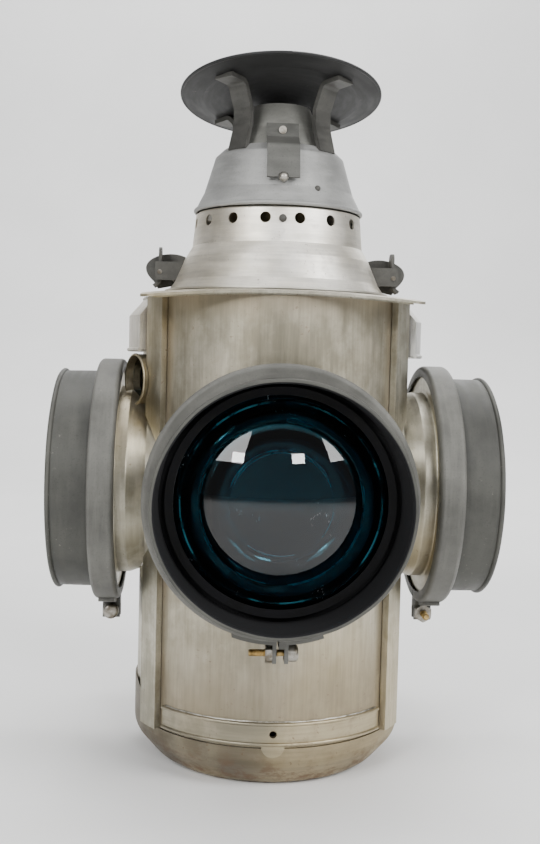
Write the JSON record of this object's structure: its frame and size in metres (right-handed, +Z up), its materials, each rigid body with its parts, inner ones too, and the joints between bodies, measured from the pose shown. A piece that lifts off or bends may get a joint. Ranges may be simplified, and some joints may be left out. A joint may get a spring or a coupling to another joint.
{
  "type": "railway switch lamp",
  "caption": "Round sheet-metal railway switch lamp with hooded lenses on every side, a stepped vented dome, chimney, cap and oil burner inside.",
  "frame": {"origin": "on the lamp's vertical axis at the underside of the base pan", "axes": "+Z up, the front lens looks along -Y and +X is on the viewer's right when facing the front lens"},
  "size_m": [0.296, 0.296, 0.4706],
  "materials": {
    "brushed_body_metal": "bare tinned steel, wire brushed, streaked and tarnished",
    "grey_paint": "dull mid grey paint, slightly rough",
    "black_inside": "flat black inside the hoods",
    "lens_glass": "thick pressed glass, blue green",
    "clear_glass": "thin glass, brown with soot",
    "gasket_felt": "felt",
    "zinc_screw": "dull plated steel",
    "burner_brass": "aged brass",
    "cotton_wick": "woven cotton, charred at its top"
  },
  "bodies": {
    "lamp_body": {"base_pan": "brushed_body_metal", "body_shell": "brushed_body_metal", "front_panel": "brushed_body_metal", "panel_band": "brushed_body_metal", "guide_left": "brushed_body_metal", "guide_right": "brushed_body_metal", "roof_plate": "brushed_body_metal", "body_top_flange": "brushed_body_metal", "vent_left": "brushed_body_metal", "vent_right": "brushed_body_metal", "sight_tube": "brushed_body_metal", "sight_glass": "clear_glass", "lens_tube_front": "brushed_body_metal", "lens_tube_right": "brushed_body_metal", "lens_tube_rear": "brushed_body_metal", "lens_tube_left": "brushed_body_metal", "lens_front": "lens_glass", "lens_right": "lens_glass", "lens_rear": "lens_glass", "lens_left": "lens_glass", "lens_gaskets": "gasket_felt", "lens_retainers": "brushed_body_metal", "fount_cradle": "brushed_body_metal"},
    "hood_assembly_front": {"hood_front": "grey_paint", "clamp_ring_front": "grey_paint", "clamp_screw_front": "zinc_screw"},
    "hood_assembly_right": {"hood_right": "grey_paint", "clamp_ring_right": "grey_paint", "clamp_screw_right": "zinc_screw"},
    "hood_assembly_rear": {"hood_rear": "grey_paint", "clamp_ring_rear": "grey_paint", "clamp_screw_rear": "zinc_screw"},
    "hood_assembly_left": {"hood_left": "grey_paint", "clamp_ring_left": "grey_paint", "clamp_screw_left": "zinc_screw"},
    "dome_top": {"dome": "brushed_body_metal", "skirt": "grey_paint", "flue": "brushed_body_metal", "draught_baffle": "brushed_body_metal", "dome_rivets": "brushed_body_metal", "latch_stud": "zinc_screw", "catch_bracket_left": "brushed_body_metal", "catch_bracket_right": "brushed_body_metal", "catch_pins": "zinc_screw"},
    "chimney_top": {"chimney_cone": "grey_paint", "cap_disc": "grey_paint", "cap_legs": "grey_paint"},
    "chimney_latch": {"latch_strap": "grey_paint", "strap_rivet": "zinc_screw"},
    "catch_left": {"catch_lever_left": "brushed_body_metal"},
    "catch_right": {"catch_lever_right": "brushed_body_metal"},
    "fount_body": {"fount": "brushed_body_metal", "burner_collar": "burner_brass", "burner_gallery": "burner_brass", "burner_cone": "burner_brass", "wick_tube": "burner_brass"},
    "wick_strip": {"wick": "cotton_wick"},
    "wick_winder": {"wick_spindle": "burner_brass", "wick_knob": "burner_brass"},
    "filler_lid": {"filler_cap": "brushed_body_metal"}
  },
  "joints": [
    {"name": "hood_turn_front", "type": "hinge", "parent": "lamp_body", "child": "hood_assembly_front", "pos_m": [0, -0.11, 0.1895], "axis": [0, -1, 0], "continuous": true},
    {"name": "hood_turn_right", "type": "hinge", "parent": "lamp_body", "child": "hood_assembly_right", "pos_m": [0.11, 0, 0.1895], "axis": [1, 0, 0], "continuous": true},
    {"name": "hood_turn_rear", "type": "hinge", "parent": "lamp_body", "child": "hood_assembly_rear", "pos_m": [0, 0.11, 0.1895], "axis": [0, 1, 0], "continuous": true},
    {"name": "hood_turn_left", "type": "hinge", "parent": "lamp_body", "child": "hood_assembly_left", "pos_m": [-0.11, 0, 0.1895], "axis": [-1, 0, 0], "continuous": true},
    {"name": "dome_lift", "type": "slide", "parent": "lamp_body", "child": "dome_top", "axis": [0, 0, 1], "range_m": [0, 0.08]},
    {"name": "chimney_lift", "type": "slide", "parent": "dome_top", "child": "chimney_top", "axis": [0, 0, 1], "range_m": [0, 0.03]},
    {"name": "latch_swing", "type": "hinge", "parent": "chimney_top", "child": "chimney_latch", "pos_m": [0, -0.0293, 0.4334], "axis": [-1, 0, 0], "range_deg": [0, 15], "stiffness_Nm_per_rad": 0.12},
    {"name": "catch_left_swing", "type": "hinge", "parent": "dome_top", "child": "catch_left", "pos_m": [-0.0813, 0, 0.3342], "axis": [0, -1, 0], "range_deg": [0, 35]},
    {"name": "catch_right_swing", "type": "hinge", "parent": "dome_top", "child": "catch_right", "pos_m": [0.0813, 0, 0.3342], "axis": [0, 1, 0], "range_deg": [0, 35]},
    {"name": "fount_lift", "type": "slide", "parent": "lamp_body", "child": "fount_body", "axis": [0, 0, 1], "range_m": [0, 0.04]},
    {"name": "wick_turn", "type": "hinge", "parent": "fount_body", "child": "wick_winder", "pos_m": [0, -0.0038, 0.118], "axis": [-1, 0, 0], "range_deg": [0, 120]},
    {"name": "wick_feed", "type": "slide", "parent": "fount_body", "child": "wick_strip", "axis": [0, 0, 1], "range_m": [0, 0.0051]},
    {"name": "filler_turn", "type": "hinge", "parent": "fount_body", "child": "filler_lid", "pos_m": [-0.034, 0.014, 0.108], "axis": [0, 0, 1], "continuous": true}
  ],
  "couplings": [
    {"joint": "wick_feed", "follows": "wick_turn", "m_per_rad": 0.0024}
  ]
}
